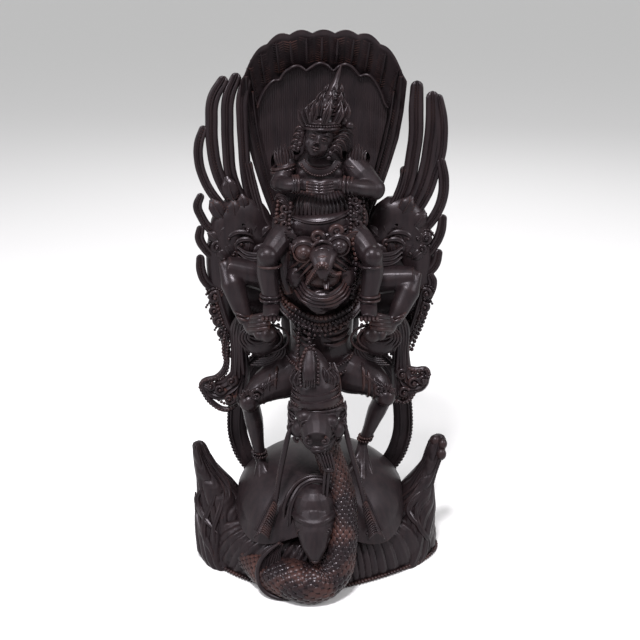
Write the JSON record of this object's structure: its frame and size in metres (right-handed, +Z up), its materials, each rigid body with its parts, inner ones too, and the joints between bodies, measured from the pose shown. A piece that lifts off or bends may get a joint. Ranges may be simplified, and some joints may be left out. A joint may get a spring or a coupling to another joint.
{
  "type": "carved wooden figure statue",
  "caption": "Carved dark wood statue of a crowned rider on a winged bird-man, standing on a turtle shell with a serpent, before a scalloped tail fan.",
  "frame": {"origin": "centre of the bounding box at the flat underside, on the surface the statue stands on", "axes": "+Z up from the underside to the top of the tail fan; the statue faces -Y; +X to the viewer's right"},
  "size_m": [0.1994, 0.1644, 0.405],
  "materials": {
    "dark_wood": "dark stained hardwood with a satin wax polish, rubbed brown on the high edges"
  },
  "bodies": {
    "root": {"statue": "dark_wood"}
  },
  "joints": []
}
